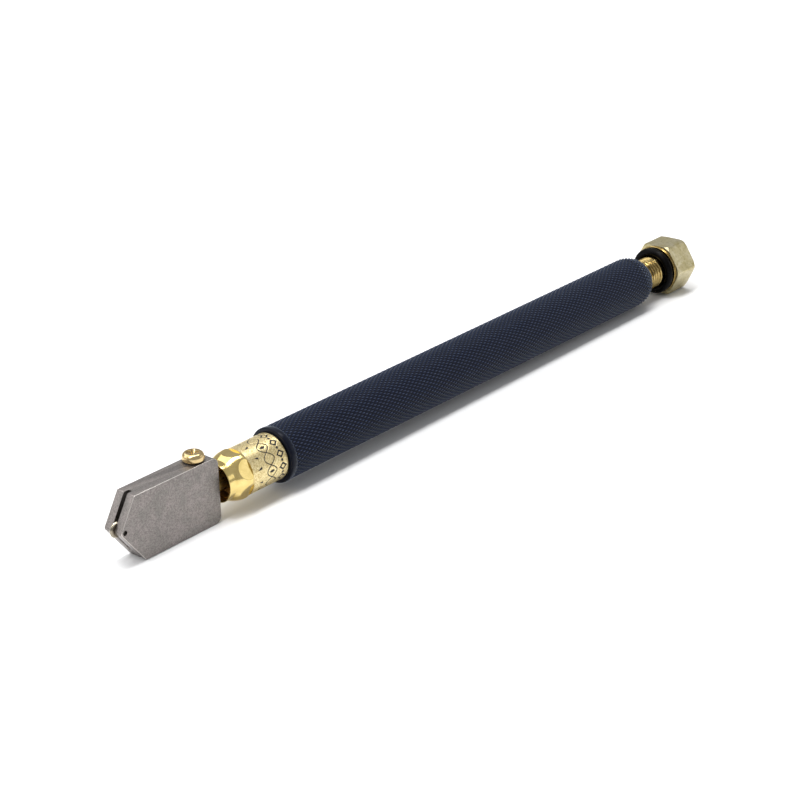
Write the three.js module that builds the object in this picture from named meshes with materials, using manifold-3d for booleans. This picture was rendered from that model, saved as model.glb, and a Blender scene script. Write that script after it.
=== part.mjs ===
// Pencil-grip glass cutter that carries its cutting oil in the handle. Millimetres, +Z up.
//
// The tool lies along X, with the cutting head at -X and the filler cap at +X. Every piece is drawn
// about the tool's axis, with x = 0 at the front face of the handle tube. The finished tool is then
// shifted so that its box is centred on the origin and the head's underside is at z = 0.
//
// Pressing the wheel on the glass pushes the stem back against its spring. That lifts the valve seal
// off its seat, and oil runs from the handle through the stem and the wick to the wheel.

import * as THREE from 'three';
import { mergeVertices } from 'three/addons/utils/BufferGeometryUtils.js';
import Module from 'manifold-3d';

const wasm = await Module();
wasm.setup();

// ---------------------------------------------------------------- driving dimensions

// Segments around a large turned piece, a small one, and a thread or a spring.
const ROUND = 48;
const SMALL_ROUND = 32;
const COIL_ROUND = 20;

// Cutting head: an upright steel plate whose front comes to a blunt point.
const HEAD = {
  thickness: 4.9,
  top: 6.95,
  underside: -7.4,
  rear: -17.1,
  topFront: -39.2,
  undersideFront: -37.45,
  tipX: -43.25,
  tipZ: 0.16,
  tipRound: 0.7,
  frontRound: 0.3,
  rearRound: 1.6,
  edgeBevel: 0.2,
  boreRadius: 1.65,
  boreDepth: 10.7,
  oilwayRadius: 0.65,
};

// Saw cut that makes the two cheeks: the disc of the slitting saw that cut it.
const SLOT = { width: 1.0, sawRadius: 20, floor: -37.33, centreZ: 2.0 };

const WHEEL = { x: -42.17, z: 0.25, radius: 1.68, faceRadius: 1.46, width: 0.8, bore: 0.5 };
const AXLE = { radius: 0.45, holeRadius: 0.525, length: 4.3 };

// Pan-head screw that keeps the head on the stem. Its tip runs in the pocket milled in the spigot.
const SCREW = {
  x: -21.4,
  headRadius: 2.32,
  headHeight: 1.75,
  domeHeight: 0.75,
  gapUnderHead: 0.25,
  shankRadius: 1.1,
  holeRadius: 1.2,
  tipZ: 1.16,
  recessSpan: 2.5,
  recessWidth: 0.7,
  recessDepth: 0.95,
};

const STEM = {
  front: -27.5,
  spigotRadius: 1.55,
  shoulder: -17.0,
  radius: 2.0,
  pocketFloor: 1.0,
  pocketLength: 2.5,
  boreRadius: 0.6,
  boreEnd: -6.7,
  grooveFront: -9.9,
  grooveRear: -8.7,
  grooveRadius: 1.22,
  reliefFront: -8.1,
  reliefRadius: 1.6,
  crossHoleX: -7.3,
  crossHoleRadius: 0.45,
  collarFront: -5.2,
  collarRear: -4.2,
  collarRadius: 3.1,
  pilotRadius: 1.7,
  rear: -2.0,
};
const STEM_RING = { radius: 1.66, section: 0.38 };
const SEAL = { front: -6.47, rear: -5.25, inner: 1.68, outer: 3.0 };
const WICK = { front: -38.0, rear: -20.0, radius: 0.45 };

const SPRING = { front: -4.1, rear: 2.95, radius: 2.4, wire: 0.28, turns: 5 };
const RETAINER = { front: 3.1, rear: 5.0, radius: 3.55, holeRadius: 1.2, slotWidth: 0.8, slotDepth: 0.7 };

// Brass ferrule: a thin mouth, a rounded nose up to a ridge with six spanner flats, then a plain body.
// The nose is one arc, which turns by noseBend between the mouth and the ridge.
const FERRULE = {
  front: -15.9,
  mouthRadius: 4.05,
  lipRadius: 4.25,
  noseStart: -14.3,
  noseBend: Math.PI / 6,
  noseSteps: 5,
  ridgeStart: -11.4,
  ridgeEnd: -10.7,
  ridgeRadius: 5.32,
  bodyStart: -10.0,
  bodyRadius: 5.1,
  flatApothem: 4.85,
  flatEnd: -10.2,
  recessFloor: -11.9,
  guideRadius: 2.1,
  seat: -6.5,
  chamberRadius: 3.6,
  shoulder: -0.4,
  spigotRadius: 4.5,
  rear: 8.0,
};
const GASKET = { front: -0.34, rear: -0.05, inner: 4.6, outer: 5.2 };

// Handle: a tube with a socket for the ferrule, the oil reservoir, and a threaded rear end.
const HANDLE = {
  radius: 6.0,
  length: 125.4,
  frontBevel: 0.2,
  socketRadius: 4.62,
  socketDepth: 8.5,
  reservoirRadius: 4.2,
  reservoirEnd: 116.0,
  endLength: 4.0,
  endRadius: 3.95,
  mouthBevel: 0.1,
  endSteps: 7,
};

// Filler cap thread, 7.5 mm by 1 mm with 60 degree flanks. The handle's groove is larger by the play,
// and is cut in a pilot hole.
const THREAD = {
  major: 3.75,
  depth: 0.6,
  pitch: 1.0,
  crestHalf: 0.07,
  play: 0.1,
  pilotRadius: 2.9,
  handleFront: 117.4,
};

// Filler cap, drawn where it stands when it has been unscrewed a little over five turns.
const CAP = {
  front: 119.5,
  leadBevel: 0.6,
  threadEnd: 130.9,
  neckRadius: 3.72,
  shoulder: 133.03,
  washerRadius: 5.65,
  hexFront: 133.4,
  rear: 140.35,
  acrossFlats: 11.8,
  roll: -0.045,
  frontBevelRadius: 6.3,
  rearBevelRadius: 6.25,
};
const CAP_RING = { x: 132.05, radius: 4.7, section: 0.93 };

// ---------------------------------------------------------------- solids

/** The same surface with shared vertices merged, slivers dropped and its faces pointing out. */
function closed(geometry) {
  const bare = geometry.clone();
  bare.deleteAttribute('normal');
  bare.deleteAttribute('uv');
  const merged = mergeVertices(bare, 1e-5);
  const old = merged.index.array;
  const kept = [];
  for (let i = 0; i < old.length; i += 3) {
    const [a, b, c] = [old[i], old[i + 1], old[i + 2]];
    if (a !== b && b !== c && c !== a) kept.push(a, b, c);
  }
  const corner = (i) => new THREE.Vector3().fromBufferAttribute(merged.attributes.position, i);
  let volume = 0;
  for (let i = 0; i < kept.length; i += 3) {
    const across = corner(kept[i + 1]).cross(corner(kept[i + 2]));
    volume += corner(kept[i]).dot(across) / 6;
  }
  if (volume < 0) {
    for (let i = 0; i < kept.length; i += 3) {
      [kept[i + 1], kept[i + 2]] = [kept[i + 2], kept[i + 1]];
    }
  }
  merged.setIndex(kept);
  merged.computeVertexNormals();
  return merged;
}

function toManifold(geometry) {
  const surface = closed(geometry);
  const vertProperties = new Float32Array(surface.attributes.position.array);
  const triVerts = new Uint32Array(surface.index.array);
  return new wasm.Manifold(new wasm.Mesh({ numProp: 3, vertProperties, triVerts }));
}

function fromManifold(solid) {
  const mesh = solid.getMesh();
  const geometry = new THREE.BufferGeometry();
  geometry.setAttribute('position', new THREE.BufferAttribute(new Float32Array(mesh.vertProperties), 3));
  geometry.setIndex(Array.from(mesh.triVerts));
  return closed(geometry);
}

/** One geometry from a base, with pieces joined to it and then tools cut from it. */
function shaped(base, { join = [], cut = [] }) {
  let solid = toManifold(base);
  for (const piece of join) solid = solid.add(toManifold(piece));
  for (const tool of cut) solid = solid.subtract(toManifold(tool));
  return fromManifold(solid);
}

/** A solid turned about the X axis from [x, radius] points. An open profile is closed on the axis. */
function turned(profile, segments = ROUND) {
  const points = profile.map(([x, radius]) => new THREE.Vector2(radius, x));
  return closed(new THREE.LatheGeometry(points, segments).rotateZ(-Math.PI / 2));
}

/** A hollow turned solid: its profile runs right round and comes back to the first point. */
function ring(profile, segments = ROUND) {
  return turned([...profile, profile[0]], segments);
}

/** A plain cylinder along X between two stations. */
function rod(radius, start, end, segments = SMALL_ROUND) {
  return turned([[start, 0], [start, radius], [end, radius], [end, 0]], segments);
}

/** A cylinder along Y or Z, centred at the given place. */
function crossRod(radius, length, axis, place, segments = SMALL_ROUND) {
  const geometry = new THREE.CylinderGeometry(radius, radius, length, segments);
  if (axis === 'z') geometry.rotateX(Math.PI / 2);
  return geometry.translate(...place);
}

function box(size, place) {
  return new THREE.BoxGeometry(...size).translate(...place);
}

/** A closed outline through [x, z, round] corners, each rounded to its own radius. */
function roundedOutline(corners) {
  const shape = new THREE.Shape();
  corners.forEach(([x, z, round], i) => {
    const here = new THREE.Vector2(x, z);
    const before = new THREE.Vector2(...corners.at(i - 1)).sub(here).normalize();
    const after = new THREE.Vector2(...corners[(i + 1) % corners.length]).sub(here).normalize();
    const halfAngle = Math.acos(before.dot(after)) / 2;
    const centre = before.clone().add(after).setLength(round / Math.sin(halfAngle)).add(here);
    const reach = round / Math.tan(halfAngle);
    const start = before.multiplyScalar(reach).add(here).sub(centre).angle();
    const end = after.multiplyScalar(reach).add(here).sub(centre).angle();
    shape.absarc(centre.x, centre.y, round, start, end, true);
  });
  return shape;
}

/** A plate in the XZ plane, centred on y = 0, with a small bevel along its edges. */
function uprightPlate(shape, thickness, bevel) {
  const geometry = new THREE.ExtrudeGeometry(shape, {
    depth: thickness - 2 * bevel,
    curveSegments: 5,
    bevelEnabled: true,
    bevelThickness: bevel,
    bevelSize: bevel,
    bevelOffset: -bevel,
    bevelSegments: 1,
  });
  return geometry.rotateX(Math.PI / 2).translate(0, thickness / 2 - bevel, 0);
}

/**
 * A threaded rod along X, with its whole surface as one spiral grid and a cone at each end. Growth
 * makes the rod larger all round, for cutting the groove that it turns in.
 */
function threadedRod(start, turns, growth) {
  const slope = Math.tan(Math.PI / 6);
  const crest = THREAD.major + growth;
  const root = crest - THREAD.depth;
  const crestHalf = THREAD.crestHalf + growth * (1 / Math.cos(Math.PI / 6) - slope);
  const rootHalf = crestHalf + THREAD.depth * slope;
  const onePitch = [
    [-crestHalf, crest],
    [crestHalf, crest],
    [rootHalf, root],
    [THREAD.pitch - rootHalf, root],
  ];
  const perTurn = onePitch.length;
  const lastRow = perTurn * (turns + 1);
  const positions = [];
  for (let row = 0; row <= lastRow; row += 1) {
    const [offset, radius] = onePitch[row % perTurn];
    const rowStart = start + Math.floor(row / perTurn) * THREAD.pitch + offset;
    for (let i = 0; i < COIL_ROUND; i += 1) {
      const angle = (i / COIL_ROUND) * 2 * Math.PI;
      const x = rowStart + (i / COIL_ROUND) * THREAD.pitch;
      positions.push(x, -radius * Math.sin(angle), radius * Math.cos(angle));
    }
  }
  // One full turn on, the grid meets itself one pitch further along.
  const at = (i, row) => (i < COIL_ROUND ? row * COIL_ROUND + i : (row + perTurn) * COIL_ROUND);
  const index = [];
  for (let i = 0; i < COIL_ROUND; i += 1) {
    for (let row = 0; row < lastRow - perTurn; row += 1) {
      index.push(at(i, row), at(i, row + 1), at(i + 1, row));
      index.push(at(i + 1, row), at(i, row + 1), at(i + 1, row + 1));
    }
  }
  const ends = [
    [0, start - THREAD.pitch],
    [lastRow - perTurn, start + (turns + 2) * THREAD.pitch],
  ];
  for (const [edgeRow, tipX] of ends) {
    const tip = positions.length / 3;
    positions.push(tipX, 0, 0);
    const loop = [];
    for (let i = 0; i < COIL_ROUND; i += 1) loop.push(at(i, edgeRow));
    for (let row = edgeRow + perTurn; row > edgeRow; row -= 1) loop.push(at(0, row));
    loop.forEach((from, k) => {
      const to = loop[(k + 1) % loop.length];
      if (edgeRow === 0) index.push(tip, from, to);
      else index.push(tip, to, from);
    });
  }
  const geometry = new THREE.BufferGeometry();
  geometry.setAttribute('position', new THREE.Float32BufferAttribute(positions, 3));
  geometry.setIndex(index);
  return geometry;
}

/** A hexagonal bar along X with a flat on top, rolled by an angle in radians. */
function hexBar(acrossFlats, start, end, roll) {
  const cornerRadius = acrossFlats / Math.sqrt(3);
  const bar = new THREE.CylinderGeometry(cornerRadius, cornerRadius, end - start, 6);
  return bar.rotateZ(-Math.PI / 2).rotateX(Math.PI / 6 + roll).translate((start + end) / 2, 0, 0);
}

// ---------------------------------------------------------------- cutting head and wheel

function cuttingHead() {
  const outline = roundedOutline([
    [HEAD.tipX, HEAD.tipZ, HEAD.tipRound],
    [HEAD.topFront, HEAD.top, HEAD.frontRound],
    [HEAD.rear, HEAD.top, HEAD.rearRound],
    [HEAD.rear, HEAD.underside, HEAD.rearRound],
    [HEAD.undersideFront, HEAD.underside, HEAD.frontRound],
  ]);
  const plate = uprightPlate(outline, HEAD.thickness, HEAD.edgeBevel);
  const clear = 1;
  const boreEnd = HEAD.rear - HEAD.boreDepth;
  const sawCentre = [SLOT.floor - SLOT.sawRadius, 0, SLOT.centreZ];
  const screwHoleHeight = HEAD.top + clear;
  return shaped(plate, {
    cut: [
      crossRod(SLOT.sawRadius, SLOT.width, 'y', sawCentre, 2 * ROUND),
      crossRod(AXLE.holeRadius, HEAD.thickness + clear, 'y', [WHEEL.x, 0, WHEEL.z], COIL_ROUND),
      rod(HEAD.boreRadius, boreEnd, HEAD.rear + clear),
      rod(HEAD.oilwayRadius, SLOT.floor - clear, boreEnd + clear, COIL_ROUND),
      crossRod(SCREW.holeRadius, screwHoleHeight, 'z', [SCREW.x, 0, screwHoleHeight / 2], COIL_ROUND),
    ],
  });
}

function cuttingWheel() {
  const half = WHEEL.width / 2;
  const section = [
    [WHEEL.bore, -half],
    [WHEEL.faceRadius, -half],
    [WHEEL.radius, 0],
    [WHEEL.faceRadius, half],
    [WHEEL.bore, half],
    [WHEEL.bore, -half],
  ];
  const points = section.map(([radius, y]) => new THREE.Vector2(radius, y));
  return closed(new THREE.LatheGeometry(points, SMALL_ROUND));
}

function wheelAxle() {
  return closed(new THREE.CylinderGeometry(AXLE.radius, AXLE.radius, AXLE.length, COIL_ROUND));
}

/** Pan-head screw standing on z = 0 at the underside of its head, with a cross recess. */
function clampScrew() {
  const seat = HEAD.top + SCREW.gapUnderHead;
  const wall = SCREW.headHeight - SCREW.domeHeight;
  const profile = [[0, SCREW.tipZ - seat], [SCREW.shankRadius, SCREW.tipZ - seat], [SCREW.shankRadius, 0]];
  profile.push([SCREW.headRadius - 0.15, 0], [SCREW.headRadius, 0.15]);
  const domeSteps = 4;
  for (let i = 0; i <= domeSteps; i += 1) {
    const angle = (i / domeSteps) * (Math.PI / 2);
    profile.push([SCREW.headRadius * Math.cos(angle), wall + SCREW.domeHeight * Math.sin(angle)]);
  }
  const points = profile.map(([radius, z]) => new THREE.Vector2(Math.max(radius, 0), z));
  points[points.length - 1].x = 0;
  const blank = closed(new THREE.LatheGeometry(points, SMALL_ROUND).rotateX(Math.PI / 2));
  const depth = 2 * SCREW.recessDepth;
  return shaped(blank, {
    cut: [
      box([SCREW.recessSpan, SCREW.recessWidth, depth], [0, 0, SCREW.headHeight]),
      box([SCREW.recessWidth, SCREW.recessSpan, depth], [0, 0, SCREW.headHeight]),
    ],
  });
}

// ---------------------------------------------------------------- stem, valve and ferrule

/** Hollow stem: spigot in the head, guide with a ring groove, relief with a cross hole, and collar. */
function stem() {
  const blank = turned([
    [STEM.front, 0],
    [STEM.front, STEM.spigotRadius],
    [STEM.shoulder, STEM.spigotRadius],
    [STEM.shoulder, STEM.radius],
    [STEM.grooveFront, STEM.radius],
    [STEM.grooveFront, STEM.grooveRadius],
    [STEM.grooveRear, STEM.grooveRadius],
    [STEM.grooveRear, STEM.radius],
    [STEM.reliefFront, STEM.radius],
    [STEM.reliefFront, STEM.reliefRadius],
    [STEM.collarFront, STEM.reliefRadius],
    [STEM.collarFront, STEM.collarRadius],
    [STEM.collarRear, STEM.collarRadius],
    [STEM.collarRear, STEM.pilotRadius],
    [STEM.rear, STEM.pilotRadius],
    [STEM.rear, 0],
  ], SMALL_ROUND);
  const clear = 1;
  const pocketHeight = STEM.spigotRadius;
  return shaped(blank, {
    cut: [
      rod(STEM.boreRadius, STEM.front - clear, STEM.boreEnd, COIL_ROUND / 2),
      crossRod(STEM.crossHoleRadius, 4 * STEM.radius, 'y', [STEM.crossHoleX, 0, 0], COIL_ROUND / 2),
      box(
        [STEM.pocketLength, 4 * STEM.spigotRadius, pocketHeight],
        [SCREW.x, 0, STEM.pocketFloor + pocketHeight / 2],
      ),
    ],
  });
}

/** A rubber ring around the X axis. */
function rubberRing(radius, section, around, sides) {
  return closed(new THREE.TorusGeometry(radius, section, sides, around).rotateY(Math.PI / 2));
}

function valveSeal() {
  const bevel = 0.2;
  return ring([
    [SEAL.front, SEAL.inner],
    [SEAL.front, SEAL.outer - bevel],
    [SEAL.front + bevel, SEAL.outer],
    [SEAL.rear, SEAL.outer],
    [SEAL.rear, SEAL.inner],
  ], SMALL_ROUND);
}

class Coil extends THREE.Curve {
  getPoint(t, target = new THREE.Vector3()) {
    const angle = t * SPRING.turns * 2 * Math.PI;
    const start = SPRING.front + SPRING.wire;
    const end = SPRING.rear - SPRING.wire;
    const y = SPRING.radius * Math.cos(angle);
    const z = SPRING.radius * Math.sin(angle);
    return target.set(start + (end - start) * t, y, z);
  }
}

function valveSpring() {
  const wire = new THREE.Shape().absarc(0, 0, SPRING.wire, 0, 2 * Math.PI);
  return closed(new THREE.ExtrudeGeometry(wire, {
    steps: SPRING.turns * 16,
    curveSegments: 4,
    extrudePath: new Coil(),
    bevelEnabled: false,
  }));
}

function springRetainer() {
  const blank = ring([
    [RETAINER.front, RETAINER.holeRadius],
    [RETAINER.front, RETAINER.radius],
    [RETAINER.rear, RETAINER.radius],
    [RETAINER.rear, RETAINER.holeRadius],
  ], SMALL_ROUND);
  const slot = box(
    [2 * RETAINER.slotDepth, 4 * RETAINER.radius, RETAINER.slotWidth],
    [RETAINER.rear, 0, 0],
  );
  return shaped(blank, { cut: [slot] });
}

/** Points between the nose's start and the ridge, on an arc. */
function nosePoints() {
  const along = FERRULE.ridgeStart - FERRULE.noseStart;
  const rise = FERRULE.ridgeRadius - FERRULE.lipRadius;
  const radius = Math.hypot(along, rise) / (2 * Math.sin(FERRULE.noseBend / 2));
  const first = Math.atan2(rise, along) + FERRULE.noseBend / 2;
  const points = [];
  for (let step = 1; step < FERRULE.noseSteps; step += 1) {
    const angle = first - (FERRULE.noseBend * step) / FERRULE.noseSteps;
    points.push([
      FERRULE.noseStart + radius * (Math.sin(first) - Math.sin(angle)),
      FERRULE.lipRadius + radius * (Math.cos(angle) - Math.cos(first)),
    ]);
  }
  return points;
}

function ferrule() {
  const blank = ring([
    [FERRULE.front, FERRULE.mouthRadius],
    [FERRULE.front, FERRULE.lipRadius - 0.05],
    [FERRULE.front + 0.1, FERRULE.lipRadius],
    [FERRULE.noseStart, FERRULE.lipRadius],
    ...nosePoints(),
    [FERRULE.ridgeStart, FERRULE.ridgeRadius],
    [FERRULE.ridgeEnd, FERRULE.ridgeRadius],
    [FERRULE.bodyStart, FERRULE.bodyRadius],
    [FERRULE.shoulder, FERRULE.bodyRadius],
    [FERRULE.shoulder, FERRULE.spigotRadius],
    [FERRULE.rear, FERRULE.spigotRadius],
    [FERRULE.rear, FERRULE.chamberRadius],
    [FERRULE.seat, FERRULE.chamberRadius],
    [FERRULE.seat, FERRULE.guideRadius],
    [FERRULE.recessFloor, FERRULE.guideRadius],
    [FERRULE.recessFloor, FERRULE.mouthRadius],
  ]);
  const flats = [];
  const height = FERRULE.ridgeRadius;
  const length = FERRULE.flatEnd - FERRULE.front;
  for (let side = 0; side < 6; side += 1) {
    const cutter = box(
      [length, 2 * height, height],
      [FERRULE.flatEnd - length / 2, 0, FERRULE.flatApothem + height / 2],
    );
    flats.push(cutter.rotateX((side * Math.PI) / 3));
  }
  return shaped(blank, { cut: flats });
}

function ferruleGasket() {
  return ring([
    [GASKET.front, GASKET.inner],
    [GASKET.front, GASKET.outer],
    [GASKET.rear, GASKET.outer],
    [GASKET.rear, GASKET.inner],
  ]);
}

// ---------------------------------------------------------------- handle and filler cap

function handleTube() {
  const outside = [
    [0, HANDLE.socketRadius],
    [0, HANDLE.radius - HANDLE.frontBevel],
    [HANDLE.frontBevel, HANDLE.radius],
  ];
  const fall = HANDLE.radius - HANDLE.endRadius;
  for (let i = 0; i <= HANDLE.endSteps; i += 1) {
    const angle = (i / HANDLE.endSteps) * (Math.PI / 2);
    const x = HANDLE.length - HANDLE.endLength * (1 - Math.sin(angle));
    outside.push([x, HANDLE.endRadius + fall * Math.cos(angle)]);
  }
  const mouth = THREAD.major + THREAD.play;
  const inside = [
    [HANDLE.length, mouth],
    [HANDLE.length - HANDLE.mouthBevel, mouth],
    [HANDLE.length - HANDLE.mouthBevel, THREAD.pilotRadius],
    [THREAD.handleFront, THREAD.pilotRadius],
    [HANDLE.reservoirEnd, HANDLE.reservoirRadius],
    [HANDLE.socketDepth, HANDLE.reservoirRadius],
    [HANDLE.socketDepth, HANDLE.socketRadius],
  ];
  const blank = ring([...outside, ...inside]);
  const turns = Math.ceil((HANDLE.length - THREAD.handleFront) / THREAD.pitch) + 2;
  return shaped(blank, { cut: [threadedRod(THREAD.handleFront - THREAD.pitch, turns, THREAD.play)] });
}

function fillerCap() {
  const neck = turned([
    [CAP.threadEnd, 0],
    [CAP.threadEnd, CAP.neckRadius],
    [CAP.shoulder, CAP.neckRadius],
    [CAP.shoulder, CAP.washerRadius],
    [CAP.hexFront + 0.5, CAP.washerRadius],
    [CAP.hexFront + 0.5, 0],
  ]);
  const corner = CAP.acrossFlats / Math.sqrt(3);
  const bevelSlope = Math.tan(Math.PI / 6);
  const hexEnvelope = turned([
    [CAP.hexFront, 0],
    [CAP.hexFront, CAP.frontBevelRadius],
    [CAP.hexFront + (corner - CAP.frontBevelRadius) * bevelSlope, corner],
    [CAP.rear - (corner - CAP.rearBevelRadius) * bevelSlope, corner],
    [CAP.rear, CAP.rearBevelRadius],
    [CAP.rear, 0],
  ]);
  const studEnvelope = turned([
    [CAP.front, 0],
    [CAP.front, THREAD.major - CAP.leadBevel],
    [CAP.front + CAP.leadBevel, THREAD.major + 0.1],
    [CAP.threadEnd + 0.2, THREAD.major + 0.1],
    [CAP.threadEnd + 0.2, 0],
  ], COIL_ROUND);
  // The thread starts a whole number of pitches from the start of the groove in the handle.
  const pitches = Math.floor((CAP.front - THREAD.handleFront) / THREAD.pitch) - 1;
  const threadStart = THREAD.handleFront + pitches * THREAD.pitch;
  const turns = Math.ceil((CAP.threadEnd - threadStart) / THREAD.pitch) + 1;
  const stud = toManifold(threadedRod(threadStart, turns, 0)).intersect(toManifold(studEnvelope));
  const bar = hexBar(CAP.acrossFlats, CAP.hexFront, CAP.rear, CAP.roll);
  const hex = toManifold(bar).intersect(toManifold(hexEnvelope));
  return fromManifold(toManifold(neck).add(hex).add(stud));
}

// ---------------------------------------------------------------- assembly

function finish(color, roughness, metalness) {
  return new THREE.MeshStandardMaterial({ color, roughness, metalness });
}

const tool = new THREE.Group();

function place(name, geometry, material, position = [0, 0, 0]) {
  const mesh = new THREE.Mesh(geometry, material);
  mesh.name = name;
  mesh.position.set(...position);
  tool.add(mesh);
}

const steel = () => finish(0x86827f, 0.45, 0.9);
const brass = () => finish(0xe0c084, 0.28, 1.0);
const rubber = () => finish(0x0c0c0e, 0.45, 0.0);

place('cutting_head', cuttingHead(), steel());
place('cutting_wheel', cuttingWheel(), finish(0xb9b3a6, 0.2, 1.0), [WHEEL.x, 0, WHEEL.z]);
place('wheel_axle', wheelAxle(), finish(0x4a4744, 0.35, 1.0), [WHEEL.x, 0, WHEEL.z]);
place('clamp_screw', clampScrew(), brass(), [SCREW.x, 0, HEAD.top + SCREW.gapUnderHead]);
place('stem', stem(), brass());
const ringX = (STEM.grooveFront + STEM.grooveRear) / 2;
const smallRing = rubberRing(STEM_RING.radius, STEM_RING.section, COIL_ROUND, 8);
place('stem_o_ring', smallRing, rubber(), [ringX, 0, 0]);
place('valve_seal', valveSeal(), rubber());
place('oil_wick', rod(WICK.radius, WICK.front, WICK.rear, COIL_ROUND / 2), finish(0xd8d0bc, 0.95, 0.0));
place('valve_spring', valveSpring(), finish(0xb8b8ba, 0.3, 1.0));
place('spring_retainer', springRetainer(), brass());
place('ferrule', ferrule(), brass());
place('ferrule_gasket', ferruleGasket(), rubber());
place('handle_tube', handleTube(), finish(0x232a36, 0.45, 0.3));
place('filler_cap', fillerCap(), finish(0xb3a687, 0.4, 1.0));
place('cap_o_ring', rubberRing(CAP_RING.radius, CAP_RING.section, 40, 12), rubber(), [CAP_RING.x, 0, 0]);

const frontmost = WHEEL.x - WHEEL.radius;
tool.position.set(-(frontmost + CAP.rear) / 2, 0, -HEAD.underside);

export default tool;
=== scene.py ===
"""Looks of a pencil-grip glass cutter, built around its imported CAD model.

Pieces are drawn in millimetres about the tool's own axis, with x = 0 at the front face of the handle,
and place() moves them into the frame. Most pieces are round, so spin() makes them: it turns a profile
of (x, radius) points about the tool's axis, and a relief function raises or lowers the surface where it
is knurled, threaded, milled or engraved.
"""

import math

import bmesh
import bpy
import numpy as np
from mathutils import Matrix, Vector


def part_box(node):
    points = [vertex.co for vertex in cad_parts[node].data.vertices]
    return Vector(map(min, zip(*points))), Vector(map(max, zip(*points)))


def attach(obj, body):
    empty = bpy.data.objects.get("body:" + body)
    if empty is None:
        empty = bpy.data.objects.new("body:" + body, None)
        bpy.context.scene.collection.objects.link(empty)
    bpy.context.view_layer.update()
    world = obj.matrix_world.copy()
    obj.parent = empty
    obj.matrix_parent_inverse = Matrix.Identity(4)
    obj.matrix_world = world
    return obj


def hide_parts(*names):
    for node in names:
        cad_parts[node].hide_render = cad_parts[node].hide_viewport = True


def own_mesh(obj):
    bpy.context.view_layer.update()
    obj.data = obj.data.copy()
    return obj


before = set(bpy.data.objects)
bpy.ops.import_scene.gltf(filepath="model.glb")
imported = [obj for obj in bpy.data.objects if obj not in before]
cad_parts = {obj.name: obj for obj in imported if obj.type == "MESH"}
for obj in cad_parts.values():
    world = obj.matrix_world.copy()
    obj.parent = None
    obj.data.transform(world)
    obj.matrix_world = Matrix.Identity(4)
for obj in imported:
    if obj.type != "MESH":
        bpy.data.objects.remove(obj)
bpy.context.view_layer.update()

MM = 0.001
TAU = 2 * math.pi

# Points closer together than these are made one point, in millimetres: in a mesh as drawn, after its
# cuts, and after its bevels.
SAME_POINT = 0.0002
CUT_GAP = 0.002
BEVEL_GAP = 0.001

handle_low, handle_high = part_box("handle_tube")
SEAT = Vector((handle_low.x, 0, (handle_low.z + handle_high.z) / 2))


def extent(node, axis):
    """Where a CAD node starts and ends along one axis, in millimetres from the seat."""
    low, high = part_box(node)
    return (low[axis] - SEAT[axis]) / MM, (high[axis] - SEAT[axis]) / MM


# ---------------------------------------------------------------- sizes, in millimetres

HEAD_FRONT, HEAD_REAR = extent("cutting_head", 0)
HEAD_BOTTOM, HEAD_TOP = extent("cutting_head", 2)
HEAD_THICKNESS = extent("cutting_head", 1)[1] - extent("cutting_head", 1)[0]
HEAD_BEVEL = 0.14
TIP = (-43.25, 0.16, 0.7)
TOP_FRONT = (-39.2, HEAD_TOP, 0.3)
TOP_REAR = (HEAD_REAR, HEAD_TOP, 1.6)
BOTTOM_REAR = (HEAD_REAR, HEAD_BOTTOM, 1.6)
BOTTOM_FRONT = (-37.45, HEAD_BOTTOM, 0.3)
SLOT_WIDTH = 1.0
SAW_RADIUS = 20.0
SLOT_FLOOR = -37.33
SLOT_CENTRE_Z = 2.0
HEAD_BORE = 1.65
HEAD_BORE_DEPTH = 10.7
OILWAY = 0.65

WHEEL_LOW, WHEEL_HIGH = extent("cutting_wheel", 0)
WHEEL_X = (WHEEL_LOW + WHEEL_HIGH) / 2
WHEEL_Z = sum(extent("cutting_wheel", 2)) / 2
WHEEL_RADIUS = (WHEEL_HIGH - WHEEL_LOW) / 2
WHEEL_WIDTH = 0.8
WHEEL_BORE = 0.5
AXLE_RADIUS = 0.45
AXLE_HOLE = 0.525
AXLE_LENGTH = 4.3

SCREW_X = sum(extent("clamp_screw", 0)) / 2
SCREW_TIP, SCREW_TOP = extent("clamp_screw", 2)
SCREW_SEAT = HEAD_TOP + 0.25
SCREW_RADIUS = 2.28
SCREW_SHANK = 1.1
SCREW_HOLE = 1.2
SCREW_PITCH = 0.32
SCREW_THREAD_DEPTH = 0.16
RECESS_DEPTH = 1.15
RECESS_FLOOR = (0.6, 0.24)
RECESS_MOUTH = (2.0, 0.46)
RECESS_TURN = math.radians(40)

STEM_FRONT, STEM_REAR = extent("stem", 0)
SPIGOT_RADIUS = 1.55
STEM_RADIUS = 2.0
COLLAR_RADIUS = 3.1
STEM_RING_X = -9.3
STEM_RING_RADIUS = 1.66
STEM_RING_SECTION = 0.37

FERRULE_FRONT, FERRULE_REAR = extent("ferrule", 0)
FERRULE_LIP = 4.25
FERRULE_BODY = 5.1
FERRULE_RIDGE = 5.32
NOSE_START = -14.3
NOSE_BEND = math.radians(30)
RIDGE_START = -11.4
FLAT_APOTHEM = 4.85
FLAT_END = -10.2
BODY_START = -10.0
BODY_END = -0.4
ENGRAVING_DEPTH = 0.05

HANDLE_RADIUS = (handle_high.z - handle_low.z) / 2 / MM
HANDLE_LENGTH = (handle_high.x - handle_low.x) / MM
HANDLE_END = 4.0
HANDLE_MOUTH = 3.95
SMOOTH_BAND = 1.35
KNURL_STARTS = 42
KNURL_ANGLE = math.radians(30)
KNURL_DEPTH = 0.30
KNURL_SPACING = TAU * HANDLE_RADIUS / KNURL_STARTS
KNURL_REPEAT = KNURL_SPACING / math.tan(KNURL_ANGLE)
RESERVOIR_RADIUS = 4.2
RESERVOIR_END = 116.0
SOCKET_RADIUS = 4.62
SOCKET_DEPTH = 8.5

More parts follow.
